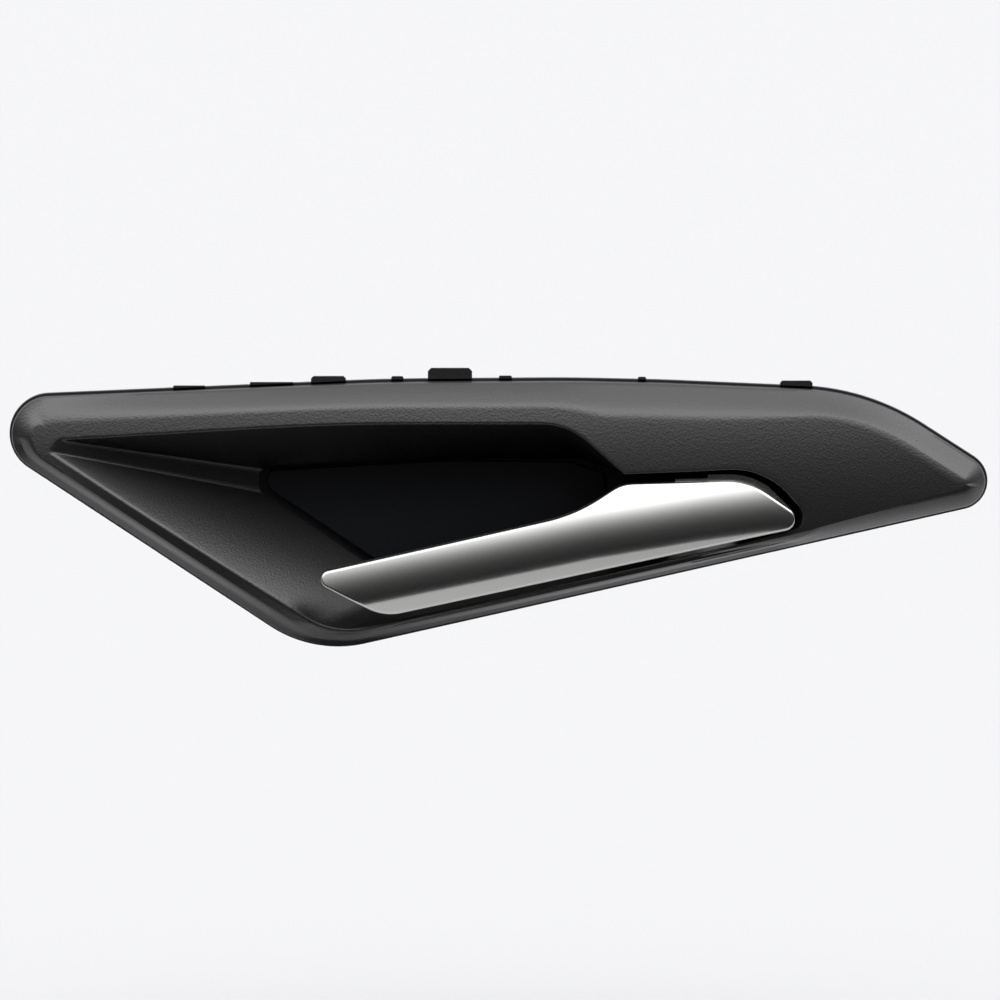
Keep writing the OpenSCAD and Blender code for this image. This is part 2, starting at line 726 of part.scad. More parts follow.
groove_r = pin_r - 0.4;
module hinge_pin() {
    color([0.6, 0.61, 0.63])
    at_hinge()
    rotate_extrude($fn = 48) polygon([
        [0, -ear_out + 0.1], [pin_r - 0.3, -ear_out + 0.1], [pin_r, -ear_out + 0.4],
        [pin_r, ear_out + 0.05], [groove_r, ear_out + 0.05], [groove_r, ear_out + 0.15 + ring_t],
        [pin_r, ear_out + 0.15 + ring_t], [pin_r, ear_out + pin_end - 0.2], [pin_r - 0.2, ear_out + pin_end],
        [0, ear_out + pin_end]
    ]);
}
module pin_ring() {
    color([0.5, 0.5, 0.52])
    at_hinge()
    slice(ear_out + 0.1, ear_out + 0.1 + ring_t) difference() {
        circle(pin_r + ring_wall, $fn = 40);
        circle(groove_r + hair, $fn = 40);
        translate([-groove_r * 0.8, 0]) square([groove_r * 1.6, 5]);
    }
}

// Wire swept along a list of points
module wire(path, r, sides = 8) {
    n = len(path);
    rings = [
        for (i = [0:n - 1])
            let (
                d = unit(path[min(i + 1, n - 1)] - path[max(i - 1, 0)]),
                side = unit(cross(d, [0.13, 0.21, 0.97])),
                up = cross(d, side)
            )
                [
                    for (k = [0:sides - 1])
                        let (a = -360 * k / sides)
                            path[i] + r * (side * cos(a) + up * sin(a))
                ]
    ];
    stack_solid(rings);
}
coil_turns = 2.25;
coil_steps = 14;
module return_spring() {
    pitch = (spring_bay - wire_d - 0.6) / coil_turns;
    v_start = -spring_bay / 2 + wire_d / 2 + 0.15;
    total = round(coil_turns * coil_steps);
    coil = [
        for (i = [0:total])
            let (t = i / coil_steps, a = -90 - 360 * t)
                [coil_r * cos(a), coil_r * sin(a), v_start + pitch * t]
    ];
    tail = coil[total];
    color([0.7, 0.7, 0.72])
    at_hinge()
    wire(
        concat([[8.5, -coil_r, v_start], [4, -coil_r, v_start]], coil, [tail + [0, 5, 0], tail + [0, 11, 0]]),
        wire_d / 2
    );
}

stop_y = plate_front - 6;
bumper_t = 3;
bumper_l = 4.6;
module rest_bumper() {
    color([0.16, 0.16, 0.16])
    at_hinge()
    slice(arm_v0, arm_v1) polygon([
        [arm_w / 2 + contact_gap, stop_y], [arm_w / 2 + contact_gap + bumper_t, stop_y],
        [arm_w / 2 + contact_gap + bumper_t, stop_y + bumper_l], [arm_w / 2 + contact_gap, stop_y + bumper_l]
    ]);
}
module open_bumper() {
    color([0.16, 0.16, 0.16])
    at_hinge() rotate([0, 0, open_angle])
    slice(arm_v0, arm_v1) polygon([
        [-arm_w / 2 - contact_gap, stop_y + 2], [-arm_w / 2 - contact_gap - bumper_t, stop_y + 2],
        [-arm_w / 2 - contact_gap - bumper_t, stop_y + 2 + bumper_l],
        [-arm_w / 2 - contact_gap, stop_y + 2 + bumper_l]
    ]);
}

module carrier() {
    back_h = lip_back_h - plate_t;
    color([0.2, 0.2, 0.21])
    difference() {
        union() {
            plate(back_h, lip_back_h) carrier_plan();
            plate(back_h, lip_back_h - panel_t - 0.1) carrier_lap();
            at_hinge() {
                for (s = [-1, 1]) ear(s);
                stops();
                conduit_block();
                spring_post();
            }
            carrier_ribs(back_h);
        }
        for (p = carrier_screws) post(p, screw_r + 0.3, back_h - 3, lip_back_h + 3);
        at_hinge() {
            cylinder(r = pin_r + hair, h = 40, center = true, $fn = 48);
            arm_slot();
            conduit_cut();
        }
    }
}
carrier_corners = [
    [-75.4, 3], [-68, 5.5], [-30, 4], [-22, 2], [-13, -2], [-13, -15], [-24, -18], [-75.4, -26],
];
module carrier_plan() {
    polygon([for (p = carrier_corners) place(p[0], p[1])]);
    feet = [place(-66, 2), place(-24, 0), place(-22, -10), place(-66, -18)];
    for (i = [0:3]) hull() {
        translate(carrier_screws[i]) circle(boss_r, $fn = 24);
        translate(feet[i]) circle(boss_r + 1.5, $fn = 24);
    }
}
module ear(side) {
    v0 = side > 0 ? ear_in : -ear_out;
    slice(v0, v0 + ear_t) {
        circle(ear_r, $fn = 48);
        polygon([[-ear_r, 0], [ear_r, 0], [ear_r + ear_flare, ear_foot], [-ear_r - ear_flare, ear_foot]]);
    }
}
module arm_slot() {
    reach = plate_front + plate_t;
    left = -reach * tan(open_angle) - arm_w / 2 / cos(open_angle) - slot_gap;
    slice(arm_v0 - slot_gap * 0.35, arm_v1 + slot_gap) polygon([
        [left, plate_front - 1.4], [arm_w / 2 + slot_gap, plate_front - 1.4],
        [arm_w / 2 + slot_gap, reach + 3], [left, reach + 3]
    ]);
}
// Backing walls of the two bumpers
module stops() {
    x0 = arm_w / 2 + contact_gap + bumper_t;
    slice(arm_v0, arm_v1) polygon([
        [x0, stop_y], [x0 + 2, stop_y], [x0 + 5, ear_foot], [arm_w / 2 + slot_gap, ear_foot],
        [arm_w / 2 + slot_gap, stop_y + bumper_l], [x0, stop_y + bumper_l]
    ]);
    x1 = -x0;
    deep = (plate_front + plate_t - 0.2 - x1 * sin(open_angle)) / cos(open_angle);
    rotate([0, 0, open_angle]) slice(arm_v0, arm_v1)
        polygon([[x1, stop_y + 2], [x1, deep], [x1 - 2.5, deep], [x1 - 2.5, stop_y + 2]]);
}
module conduit_block() {
    r = conduit_d / 2 + 2.2;
    v = arm_v0 + arm_t / 2;
    translate([conduit_reach, arm_len, v]) rotate([0, 90, 0]) cylinder(r = r, h = conduit_len, $fn = 48);
    translate([conduit_reach, ear_foot, v - r]) cube([conduit_len, arm_len - ear_foot, 2 * r]);
}
module conduit_cut() {
    v = arm_v0 + arm_t / 2;
    mouth = conduit_d * 0.78;
    translate([conduit_reach - 1, arm_len, v]) rotate([0, 90, 0])
        cylinder(r = conduit_d / 2, h = conduit_len + 2, $fn = 48);
    translate([conduit_reach - 1, arm_len, v - mouth / 2]) cube([conduit_len + 2, 20, mouth]);
}
module spring_post() {
    slice(arm_v1 + side_gap, spring_bay / 2 + 0.8) polygon([
        [-coil_r - wire_d / 2 - 0.05, 8], [-coil_r - wire_d / 2 - 2.2, 8],
        [-coil_r - wire_d / 2 - 4, ear_foot], [-coil_r - wire_d / 2 - 0.05, ear_foot]
    ]);
}
// Tongue that closes the joint behind the floor panel's flange
module carrier_lap() {
    polygon([for (p = [[-78, 2], [-74, 2], [-74, -25], [-78, -25]]) place(p[0], p[1])]);
}
rib_t = 1.1;
module carrier_ribs(back_h) {
    for (z = [3.4, -15.5])
        plate(back_h - rib_t, back_h + 0.5)
            polygon([place(-70, z - 2.2), place(-30, z - 0.6), place(-30, z - 2.2), place(-70, z - 3.8)]);
}

module carrier_screw(i) {
    color([0.55, 0.56, 0.58]) pan_screw(carrier_screws[i], lip_back_h - plate_t);
}
module panel_screw(i) {
    color([0.55, 0.56, 0.58]) pan_screw(panel_screws[i], lip_back_h - panel_t);
}
// Pan-head screw whose head seats at height seat_h and whose shank runs into its boss
module pan_screw(p, seat_h) {
    head_r = screw_r + 1.3;
    head_t = 1.9;
    tip = lip_back_h - seat_h + screw_depth;
    difference() {
        translate([p[0], -seat_h, p[1]]) rotate([90, 0, 0]) rotate_extrude($fn = 32) polygon([
            [0, -head_t], [head_r * 0.55, -head_t], [head_r, -head_t * 0.5], [head_r, 0], [screw_r, 0],
            [screw_r, tip - 1], [0.4, tip], [0, tip]
        ]);
        for (a = [0, 90]) translate([p[0], -seat_h + head_t, p[1]]) rotate([0, a, 0])
            cube([head_r * 1.2, 1.8, 0.7], center = true);
    }
}
module cover_screw(i) {
    p = cover_screws[i];
    color([0.55, 0.56, 0.58])
    difference() {
        translate([p[0], -(lever_back_h + 1), p[1]]) rotate([90, 0, 0]) rotate_extrude($fn = 32) polygon([
            [0, -0.9], [cover_screw_r + 1, -0.9], [cover_screw_r + 1, 0], [cover_screw_r, 0],
            [cover_screw_r, 2.6], [0.3, 3.1], [0, 3.1]
        ]);
        for (a = [0, 90]) translate([p[0], -(lever_back_h + 0.1), p[1]]) rotate([0, a, 0])
            cube([2.2, 1, 0.5], center = true);
    }
}

bezel();
insert_panel();
carrier();
hinge_pin();
pin_ring();
upper_bush();
lower_bush();
return_spring();
rest_bumper();
open_bumper();
lever_core();
lever_cover();
for (i = [0:3]) carrier_screw(i);
for (i = [0:2]) panel_screw(i);
for (i = [0:1]) cover_screw(i);
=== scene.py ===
"""Car interior door release handle: fine surfaces, materials, light and camera."""
import math

import bpy
import numpy as np
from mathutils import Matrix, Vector


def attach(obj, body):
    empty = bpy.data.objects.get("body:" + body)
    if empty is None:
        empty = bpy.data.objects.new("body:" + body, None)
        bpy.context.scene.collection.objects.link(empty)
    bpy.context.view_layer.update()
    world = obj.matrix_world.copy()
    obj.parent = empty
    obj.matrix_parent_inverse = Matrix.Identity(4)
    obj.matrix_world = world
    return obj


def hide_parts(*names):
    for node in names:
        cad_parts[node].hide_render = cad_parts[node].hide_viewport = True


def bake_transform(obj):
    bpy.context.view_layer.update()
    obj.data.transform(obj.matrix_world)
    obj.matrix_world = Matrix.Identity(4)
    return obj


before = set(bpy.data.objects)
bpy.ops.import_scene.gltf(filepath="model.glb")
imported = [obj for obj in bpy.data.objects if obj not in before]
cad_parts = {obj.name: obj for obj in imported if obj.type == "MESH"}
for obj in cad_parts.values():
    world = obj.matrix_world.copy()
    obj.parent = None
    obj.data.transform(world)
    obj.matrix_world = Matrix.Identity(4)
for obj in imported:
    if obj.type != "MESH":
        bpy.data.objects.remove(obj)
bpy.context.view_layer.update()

MM = 0.001  # metres in a millimetre

# Corners of each plan outline as (x, z, radius) in millimetres, clockwise from the left tip: the rim of the
# flank, the crest round the bowl, the window at the bowl's floor and the lever
RIM_CORNERS = [
    (-222.5, 3.2, 9.3), (-222.5, 17.2, 9.3), (-130, 21.1, 600), (-85, 21.4, 500), (-62, 20.9, 400),
    (-11.2, 18.7, 59), (27.8, -6.4, 6.5), (-148, -46.1, 29.8),
]
CREST_CORNERS = [
    (-212.8, 4.4, 0.5), (-210.6, 7.2, 2.5), (-143.9, 11.4, 700), (-85.6, 11.4, 17.2), (-71.6, -0.9, 0.7),
    (-36.9, 0.5, 18.4), (-24.4, -14, 4), (-143.5, -41, 19.2),
]
WINDOW_CORNERS = [
    (-162, -7, 2.4), (-162, -1.5, 1.8), (-115, 1.3, 300), (-82, 1.2, 12), (-71.3, -2.6, 0.9),
    (-37.5, -0.7, 17.4), (-25.2, -12.6, 2.8), (-124.5, -32.4, 4),
]
LEVER_CORNERS = [
    (-150.2, -25.8, 2.2), (-83.6, -10.7, 42), (-71.9, -3.2, 8.9), (-41.1, -2.4, 16.7),
    (-25.4, -13.3, 2.9), (-130.5, -36, 12),
]
RIDGE_LINE = [(-151, -34.1), (-79.4, -19.3), (-52.9, -14.9), (-36.6, -12.7), (-27, -12.2)]

# Points on each arc of the bezel's outlines, and on each stretch after it
ARC_POINTS = [28, 24, 18, 32, 14, 32, 30, 34]
EDGE_POINTS = [3, 40, 28, 14, 40, 20, 100, 64]

# Sizes in millimetres, with heights measured from the plane of the bezel's rear edge towards the user
EDGE_H = 5  # foot of the flank
CROWN_H = 14.5  # top of the crowned face
CROWN_FALL = 5  # fall of the face from its middle to its ends
CROWN_R = 85  # radius of the crown across the handle
MID_X = -102  # middle of the bezel's length
CROWN_Z = -8  # line along which the crown is highest
HALF_LEN = 120
SKIN = 2.4  # wall of the bezel
FLANGE_W = 0.7  # ledge round the rear edge
FLANGE_T = 1.4
WINDOW_H = -9.5  # end of the bowl's wall at the window
LIP_BACK_H = -11  # rear of the lip round the window
LIP_W = 2.2


def corner_arc(a, b, c, r, n):
    """Arc of n points that rounds corner b between its neighbours a and c."""
    u = (a - b) / np.linalg.norm(a - b)
    w = (c - b) / np.linalg.norm(c - b)
    half = math.acos(float(np.clip(u @ w, -1, 1))) / 2
    middle = (u + w) / np.linalg.norm(u + w)
    centre = b + middle * r / math.sin(half)
    start = b + u * r / math.tan(half) - centre
    end = b + w * r / math.tan(half) - centre
    a0 = math.atan2(start[1], start[0])
    turn = math.atan2(end[1], end[0]) - a0
    turn = (turn + math.pi) % (2 * math.pi) - math.pi
    t = a0 + turn * np.linspace(0, 1, n)
    return centre + r * np.stack([np.cos(t), np.sin(t)], 1)


def rounded(corners, arcs, edges):
    """Closed outline with rounded corners, with points on each arc and on each stretch after it."""
    xy = np.array([c[:2] for c in corners], float)
    m = len(corners)
    parts = [corner_arc(xy[k - 1], xy[k], xy[(k + 1) % m], corners[k][2], arcs[k]) for k in range(m)]
    points = []
    for k in range(m):
        points.append(parts[k])
        t = np.linspace(0, 1, edges[k] + 2)[1:-1, None]
        points.append(parts[k][-1] * (1 - t) + parts[(k + 1) % m][0] * t)
    return np.concatenate(points)


def normals(c):
    """Outward normals of a clockwise outline."""
    d = np.roll(c, -1, 0) - np.roll(c, 1, 0)
    d /= np.linalg.norm(d, axis=1)[:, None]
    return np.stack([-d[:, 1], d[:, 0]], 1)


def smooth(t):
    """Soft step from 0 to 1 as t goes from 0 to 1."""
    c = np.clip(t, 0, 1)
    return c * c * (3 - 2 * c)


def face_h(p):
    """Height of the bezel's show face at plan points."""
    along = ((p[:, 0] - MID_X) / HALF_LEN) ** 2
    return CROWN_H - CROWN_FALL * along - (p[:, 1] - CROWN_Z) ** 2 / (2 * CROWN_R)


def at_height(p, h):
    """Plan points and their heights as 3-D points."""
    h = np.broadcast_to(h, len(p))
    return np.stack([p[:, 0], -h, p[:, 1]], 1)


def add_object(name, data):
    """New object in the scene."""
    added = bpy.data.objects.new(name, data)
    bpy.context.scene.collection.objects.link(added)
    return added


def mesh_object(name, vertices, faces, material, sharp=32):
    """Mesh object in metres from points in millimetres, smooth up to the given angle."""
    mesh = bpy.data.meshes.new(name)
    mesh.from_pydata((np.asarray(vertices) * MM).tolist(), [], faces)
    mesh.validate()
    mesh.polygons.foreach_set("use_smooth", [True] * len(mesh.polygons))
    mesh.set_sharp_from_angle(angle=math.radians(sharp))
    mesh.materials.append(material)
    return add_object(name, mesh)


def tube_faces(rings, n, closed, first=0):
    """Quads between successive rings of n points."""
    faces = []
    for j in range(rings if closed else rings - 1):
        a = first + j * n
        b = first + ((j + 1) % rings) * n
        for i in range(n):
            k = (i + 1) % n
            faces.append((a + i, b + i, b + k, a + k))
    return faces


# Materials
def new_material(name, colour, roughness, metallic=0.0, specular=0.5):
    """Plain material of one colour and roughness."""
    material = bpy.data.materials.new(name)
    material.use_nodes = True
    shader = material.node_tree.nodes["Principled BSDF"]
    shader.inputs["Base Color"].default_value = (*colour, 1)
    shader.inputs["Roughness"].default_value = roughness
    shader.inputs["Metallic"].default_value = metallic
    shader.inputs["Specular IOR Level"].default_value = specular
    return material


GRAIN_SOFTNESS = 0.6
NOISE_SCALE = 0.8
NOISE_DETAIL = 3
NOISE_SHARE = 0.5


def add_grain(material, scale, distance, strength):
    """Moulded grain: small cells with finer noise on top, as a bump."""
    nodes = material.node_tree.nodes
    links = material.node_tree.links
    place = nodes.new("ShaderNodeTexCoord")
    cells = nodes.new("ShaderNodeTexVoronoi")
    cells.feature = "SMOOTH_F1"
    cells.inputs["Scale"].default_value = scale
    cells.inputs["Smoothness"].default_value = GRAIN_SOFTNESS
    noise = nodes.new("ShaderNodeTexNoise")
    noise.inputs["Scale"].default_value = scale * NOISE_SCALE
    noise.inputs["Detail"].default_value = NOISE_DETAIL
    mix = nodes.new("ShaderNodeMath")
    mix.operation = "MULTIPLY_ADD"
    mix.inputs[1].default_value = NOISE_SHARE
    bump = nodes.new("ShaderNodeBump")
    bump.inputs["Distance"].default_value = distance
    bump.inputs["Strength"].default_value = strength
    links.new(place.outputs["Object"], cells.inputs["Vector"])
    links.new(place.outputs["Object"], noise.inputs["Vector"])
    links.new(noise.outputs["Fac"], mix.inputs[0])
    links.new(cells.outputs["Distance"], mix.inputs[2])
    links.new(mix.outputs["Value"], bump.inputs["Height"])
    links.new(bump.outputs["Normal"], nodes["Principled BSDF"].inputs["Normal"])


grained = new_material("grained_plastic", (0.009, 0.009, 0.0092), 0.38, specular=0.75)
add_grain(grained, 1900, 0.00012, 0.3)
panel_satin = new_material("panel_satin", (0.006, 0.007, 0.009), 0.33)
add_grain(panel_satin, 2600, 0.00002, 0.15)
silver = new_material("silver_satin", (0.5, 0.5, 0.485), 0.24, metallic=1.0)
core_black = new_material("core_black", (0.008, 0.008, 0.008), 0.45)
carrier_black = new_material("carrier_black", (0.03, 0.03, 0.031), 0.55)
add_grain(carrier_black, 900, 0.00005, 0.25)
bush_cream = new_material("bush_cream", (0.6, 0.56, 0.42), 0.4)
rubber = new_material("rubber", (0.02, 0.02, 0.02), 0.8)
steel = new_material("steel", (0.5, 0.5, 0.51), 0.28, metallic=1.0)
zinc = new_material("zinc", (0.55, 0.55, 0.53), 0.35, metallic=1.0)

NODE_MATERIALS = {
    "bezel": grained, "insert_panel": panel_satin, "carrier": carrier_black, "hinge_pin": steel,
    "pin_ring": steel, "upper_bush": bush_cream, "lower_bush": bush_cream, "return_spring": steel,
    "rest_bumper": rubber, "open_bumper": rubber, "lever_core": core_black, "lever_cover": silver,
}
for name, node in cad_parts.items():
    material = NODE_MATERIALS.get(name, zinc)
    if not node.data.materials:
        node.data.materials.append(material)
    for slot in node.material_slots:
        slot.material = material

# Bezel
FLANK_W = 5.3
# A soft roll widens the flank along the top edge: it starts at ROLL_X and is full ROLL_FADE further left
ROLL_W = 3.2
ROLL_X = -8
ROLL_FADE = 50
ROLL_POWER = 6
# Where the crest runs close to the rim the flank takes a share of the gap, and BLEND softens the change
GAP_SHARE = 0.62
BLEND = 0.35
# The lower flank has its own profile where the edge's normal slopes down this much, and loses it again
# over LOWER_FADE to the right of LOWER_END_X, beyond the lever
LOWER_SLOPE = 0.35
LOWER_END_X = -36
LOWER_FADE = 16
# Roundness of the flank, and what it gains along the soft roll and beyond the lever
BEND = 1.25
BEND_MORE = 0.75
# Bead and step under the lever, where the gap to the crest is small
BEAD_GAP = 6.5
BEAD_FADE = 2
BEAD_W = 1.0
STEP_W = 0.5
STEP_D = 1.5
# Flat lip along the lower flank: its share of the width and of the rise, then the steep part's curve
LIP_SHARE = 0.44
LIP_RISE = 0.3
STEEP_POWER = 1.5
# The rounded edge of the bowl starts this far from the crest on the face and ends this far down the wall
CREST_FACE = 0.55
CREST_WALL = 0.6
# Where the gap from rim to crest is narrow, the hollow behind the face is lower and its outer wall thinner
NARROW_GAP = 7
NARROW_FADE = 3
NARROW_DROP = 2
NARROW_THIN = 0.3
# Elsewhere the hollow's ceiling is lower at the bowl's wall, and higher and further in at the flank
CEILING_DROP = 0.2
CEILING_RISE = 1
CEILING_INSET = 0.8
# Chamfer of the ledge, draft and start of the flank's foot, and thinner wall at the rear edge
FLANGE_CHAMFER = 0.15
FOOT_DRAFT = 0.1
FOOT_DROP = 0.4
REAR_THIN = 0.4
# Shares and numbers of the rings that the bezel's skin is made of
FLANK_SHARES = [0.05, 0.12, 0.2, 0.28, 0.35, 0.4, 0.44, 0.48, 0.53, 0.6, 0.68, 0.76, 0.84, 0.92, 1]
CEILING_SHARES = [0.2, 0.4, 0.6, 0.8]
FACE_STEPS = 14
CREST_STEPS = 7
WALL_STEPS = 26

rim = rounded(RIM_CORNERS, ARC_POINTS, EDGE_POINTS)
crest = rounded(CREST_CORNERS, ARC_POINTS, EDGE_POINTS)
window = rounded(WINDOW_CORNERS, ARC_POINTS, EDGE_POINTS)
rim_out = normals(rim)
crest_out = normals(crest)
window_out = normals(window)
gaps = np.sqrt(((rim[:, None, :] - crest[None, :, :]) ** 2).sum(2)).min(1)
rollness = np.maximum(rim_out[:, 1], 0) ** ROLL_POWER * smooth((ROLL_X - rim[:, 0]) / ROLL_FADE)
full_w = FLANK_W + ROLL_W * rollness
flank_w = -BLEND * np.log(np.exp(-full_w / BLEND) + np.exp(-GAP_SHARE * gaps / BLEND))
facing_down = smooth(-rim_out[:, 1] / LOWER_SLOPE)
beyond_lever = smooth((rim[:, 0] - LOWER_END_X) / LOWER_FADE)
lower = facing_down * (1 - beyond_lever)
bend = BEND + BEND_MORE * np.maximum(rollness, beyond_lever * facing_down)
beaded = lower * smooth((BEAD_GAP - gaps) / BEAD_FADE)
narrow = np.clip((NARROW_GAP - gaps) / NARROW_FADE, 0, 1)
# Share of a distance from crest to rim, point to point, that counts as distance from the crest
reach = gaps / np.linalg.norm(rim - crest, axis=1)
crest_h = face_h(crest)


def show_h(p):
    """Height of the face, lowered outside the bead that runs under the lever."""
    d = np.linalg.norm(p - crest, axis=1) * reach
    return face_h(p) - STEP_D * beaded * smooth((d - BEAD_W) / STEP_W)


def flank_ring(s):
    """Flank at a share s of its width: one soft roll, or a flat lip and a steep part on the lower flank."""
    p = rim - rim_out * (s * flank_w)[:, None]
    roll = 1 - (1 - s) ** bend
    steep = max(0, (s - LIP_SHARE) / (1 - LIP_SHARE))
    lip = LIP_RISE * min(1, s / LIP_SHARE) + (1 - LIP_RISE) * (1 - (1 - steep) ** STEEP_POWER)
    rise = roll * (1 - lower) + lip * lower
    return at_height(p, EDGE_H + (show_h(p) - EDGE_H) * rise)


def face_ring(t):
    """Face at a share t of the way from the flank to the rounded edge of the bowl."""
    inner = crest + crest_out * CREST_FACE
    p = (rim - rim_out * flank_w[:, None]) * (1 - t) + inner * t
    return at_height(p, show_h(p))


def wall_point(h):
    """Plan points of the bowl's wall at given heights."""
    t = (crest_h - h) / (crest_h - WINDOW_H)
    return crest * (1 - t)[:, None] + window * t[:, None]


def wall_ring(t):
    """Bowl's wall at a share t of the way from its rounded edge down to the window."""
    h = (crest_h - CREST_WALL) * (1 - t) + WINDOW_H * t
    return at_height(wall_point(h), h)


def crest_ring(t):
    """Rounded edge between the face and the bowl's wall."""
    a = face_ring(1)
    b = at_height(crest, crest_h)
    c = wall_ring(0)
    return a * (1 - t) ** 2 + b * 2 * t * (1 - t) + c * t * t


def inner_ceiling():
    """Edge of the hollow behind the face, at the bowl's wall."""
    h = (crest_h - SKIN - CEILING_DROP) * (1 - narrow) + (EDGE_H - NARROW_DROP) * narrow
    return at_height(wall_point(h) + crest_out * SKIN, h)


def outer_ceiling():
    """Edge of the hollow behind the face, at the flank."""
    inset = (SKIN + CEILING_INSET) * (1 - narrow) + (SKIN - NARROW_THIN) * narrow
    h = EDGE_H + CEILING_RISE - (CEILING_RISE + NARROW_DROP) * narrow
    return at_height(rim - rim_out * inset[:, None], h)


def ceiling_ring(t):
    """Rear of the face at a share t of the way from the bowl's wall to the flank."""
    p = inner_ceiling() * (1 - t) + outer_ceiling() * t
    full = face_h(p[:, [0, 2]]) - SKIN
    hold = np.maximum(narrow, smooth(np.full(len(p), abs(2 * t - 1))))
    p[:, 1] = -(full * (1 - hold) - p[:, 1] * hold)
    return p


# Rings of the bezel's skin, from the ledge over flank and face into the bowl and back behind the face
bezel_rings = [
    at_height(rim + rim_out * FLANGE_W, 0),
    at_height(rim + rim_out * FLANGE_W, FLANGE_T - FLANGE_CHAMFER),
    at_height(rim + rim_out * (FLANGE_W - FLANGE_CHAMFER), FLANGE_T),
    at_height(rim, FLANGE_T),
    at_height(rim - rim_out * FOOT_DRAFT, EDGE_H - FOOT_DROP),
]
bezel_rings += [flank_ring(s) for s in FLANK_SHARES]
bezel_rings += [face_ring(t) for t in np.linspace(0, 1, FACE_STEPS)[1:-1]]
bezel_rings += [crest_ring(t) for t in np.linspace(0, 1, CREST_STEPS)]
bezel_rings += [wall_ring(t) for t in np.linspace(0, 1, WALL_STEPS)[1:]]
bezel_rings += [
    at_height(window, LIP_BACK_H),
    at_height(window + window_out * LIP_W, LIP_BACK_H),
    inner_ceiling(),
]
bezel_rings += [ceiling_ring(t) for t in CEILING_SHARES]
bezel_rings += [outer_ceiling(), at_height(rim - rim_out * (SKIN - REAR_THIN), 0)]
bezel_vertices = list(np.concatenate(bezel_rings))
bezel_faces = tube_faces(len(bezel_rings), len(rim), True)

# Screw bosses behind the face: places as (x, z), and the heights of their tops
SCREW_R = 1.5
SCREW_DEPTH = 7.6
BOSS_R = 3.0
TRIM_PILOT_R = 1.6
TRIM_DEPTH = 6.4
TRIM_R = 3.6
POST_POINTS = 40
POST_TIP_R = 0.01
CARRIER_SCREWS = [(-72, 12.5), (-15.5, 7.5), (-14.5, -11.3), (-70, -25.3)]
CARRIER_TOPS = [9.5, 9, 5.4, 2.5]
PANEL_SCREWS = [(-121, 14.2), (-163, -21), (-113, -34.4)]
PANEL_TOPS = [8.3, 0.2, 2.5]
TRIM_BOSSES = [(0, 0), (-199.4, 12.2), (-150, -31)]
TRIM_TOPS = [8.8, 5.8, 1.2]
TRIM_MOUTHS = [0, 0, -6]
# Crossed gussets on the first two trim bosses, and how far they reach out of them
GUSSET_REACH = [3.4, 0.4]
GUSSET_T = 1.2
GUSSET_H = 2.5
GUSSET_DROP = 0.3


def add_post(vertices, faces, p, outer, bore, h0, h1, floor):
    """Round boss from height h0 to h1, with a blind bore that opens at h0 and ends at the floor's height."""
    tip = POST_TIP_R
    profile = [(tip, floor), (bore, floor), (bore, h0), (outer, h0), (outer, h1), (tip, h1)]
    first = len(vertices)
    angle = np.arange(POST_POINTS) * 2 * math.pi / POST_POINTS
    for r, h in profile:
        for a in angle:
            vertices.append(np.array([p[0] + r * math.cos(a), -h, p[1] + r * math.sin(a)]))
    faces += tube_faces(len(profile), POST_POINTS, False, first)


def add_prism(vertices, faces, outline, h0, h1):
    """Prism on a plan outline from height h0 to h1."""
    first = len(vertices)
    n = len(outline)
    for h in (h0, h1):
        for x, z in outline:
            vertices.append(np.array([x, -h, z]))
    faces.append(tuple(first + i for i in range(n)))
    faces.append(tuple(first + n + i for i in reversed(range(n))))
    for i in range(n):
        k = (i + 1) % n
        faces.append((first + i, first + n + i, first + n + k, first + k))


for p, top in list(zip(CARRIER_SCREWS, CARRIER_TOPS)) + list(zip(PANEL_SCREWS, PANEL_TOPS)):
    add_post(bezel_vertices, bezel_faces, p, BOSS_R, SCREW_R, LIP_BACK_H, top, LIP_BACK_H + SCREW_DEPTH)
for p, top, mouth in zip(TRIM_BOSSES, TRIM_TOPS, TRIM_MOUTHS):
    add_post(bezel_vertices, bezel_faces, p, TRIM_R, TRIM_PILOT_R, mouth, top, mouth + TRIM_DEPTH)
for p, top, length in zip(TRIM_BOSSES, TRIM_TOPS, GUSSET_REACH):
    for a, b in ((TRIM_R + length, GUSSET_T / 2), (GUSSET_T / 2, TRIM_R + length)):
        cross = [(p[0] - a, p[1] - b), (p[0] + a, p[1] - b), (p[0] + a, p[1] + b), (p[0] - a, p[1] + b)]
        add_prism(bezel_vertices, bezel_faces, cross, GUSSET_H, top - GUSSET_DROP)

# Tongues on the top edge: centre, width, rise above the ledge
TONGUES = [
    (-178.8, 7.9, 0.3), (-158.4, 10.8, 0.3), (-144.4, 8.6, 1.2), (-127.4, 3, 0.6),
    (-114.4, 10.9, 2.5), (-100.7, 3.2, 0.5), (-67, 2, 0.5), (-28.9, 8, 1.1),
]
TONGUE_CHAMFER = 0.8
# The top edge is the part of the rim above this height and left of the right tip
TOP_EDGE_Z = 8
TOP_EDGE_X = 20
top_edge = rim[(rim[:, 1] > TOP_EDGE_Z) & (rim[:, 0] < TOP_EDGE_X)]
top_edge = top_edge[np.argsort(top_edge[:, 0])]


def rim_z(x):
    """Top edge of the rim at a given X."""
    return float(np.interp(x, top_edge[:, 0], top_edge[:, 1]))


for x, width, rise in TONGUES:
    w = width / 2
    z0 = min(rim_z(x - w), rim_z(x + w)) - SKIN / 2
    z1 = rim_z(x) + FLANGE_W + rise
    c = min(TONGUE_CHAMFER, rise / 2)
    outline = [(x - w, z0), (x + w, z0), (x + w, z1 - c), (x + w - c, z1), (x - w + c, z1), (x - w, z1 - c)]
    add_prism(bezel_vertices, bezel_faces, outline, 0, FLANGE_T)

